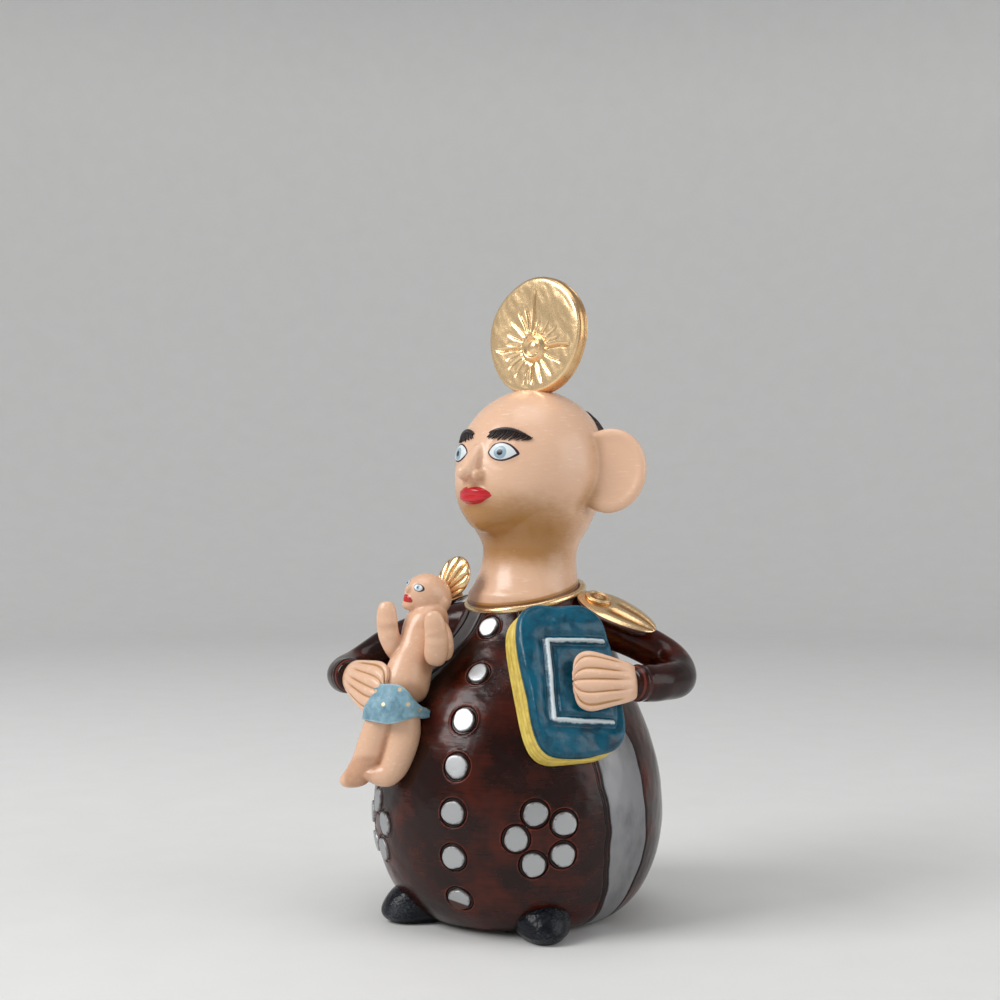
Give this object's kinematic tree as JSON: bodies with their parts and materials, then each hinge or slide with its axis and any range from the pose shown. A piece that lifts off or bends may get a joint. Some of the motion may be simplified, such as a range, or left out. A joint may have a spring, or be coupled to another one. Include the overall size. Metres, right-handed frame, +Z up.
{
  "type": "saint statuette",
  "caption": "Standing glazed clay saint figure in a rounded, buttoned coat, holding a child and a book, with a disc halo on the head.",
  "frame": {"origin": "centre of the flat underside, on the surface the figure stands on", "axes": "+Z up along the figure's height, -Y the way the coat's button row faces, +X towards the figure's left hand"},
  "size_m": [0.1003, 0.0818, 0.1755],
  "materials": {
    "coat": "very dark oxblood brown, high gloss, thinning to red brown on ridges",
    "skin": "peach, satin",
    "gold": "bright gold lustre",
    "silver": "silver paint, brushed",
    "book_cover": "teal blue, satin, worn pale at the edges",
    "book_pages": "yellow, satin, fine streaks",
    "hair": "very dark brown brush strokes",
    "lips": "red, glossy",
    "loincloth": "pale blue, satin",
    "shoes": "blue black, satin, dry-brushed grey"
  },
  "bodies": {
    "root": {"saint_statuette": "coat"}
  },
  "joints": []
}
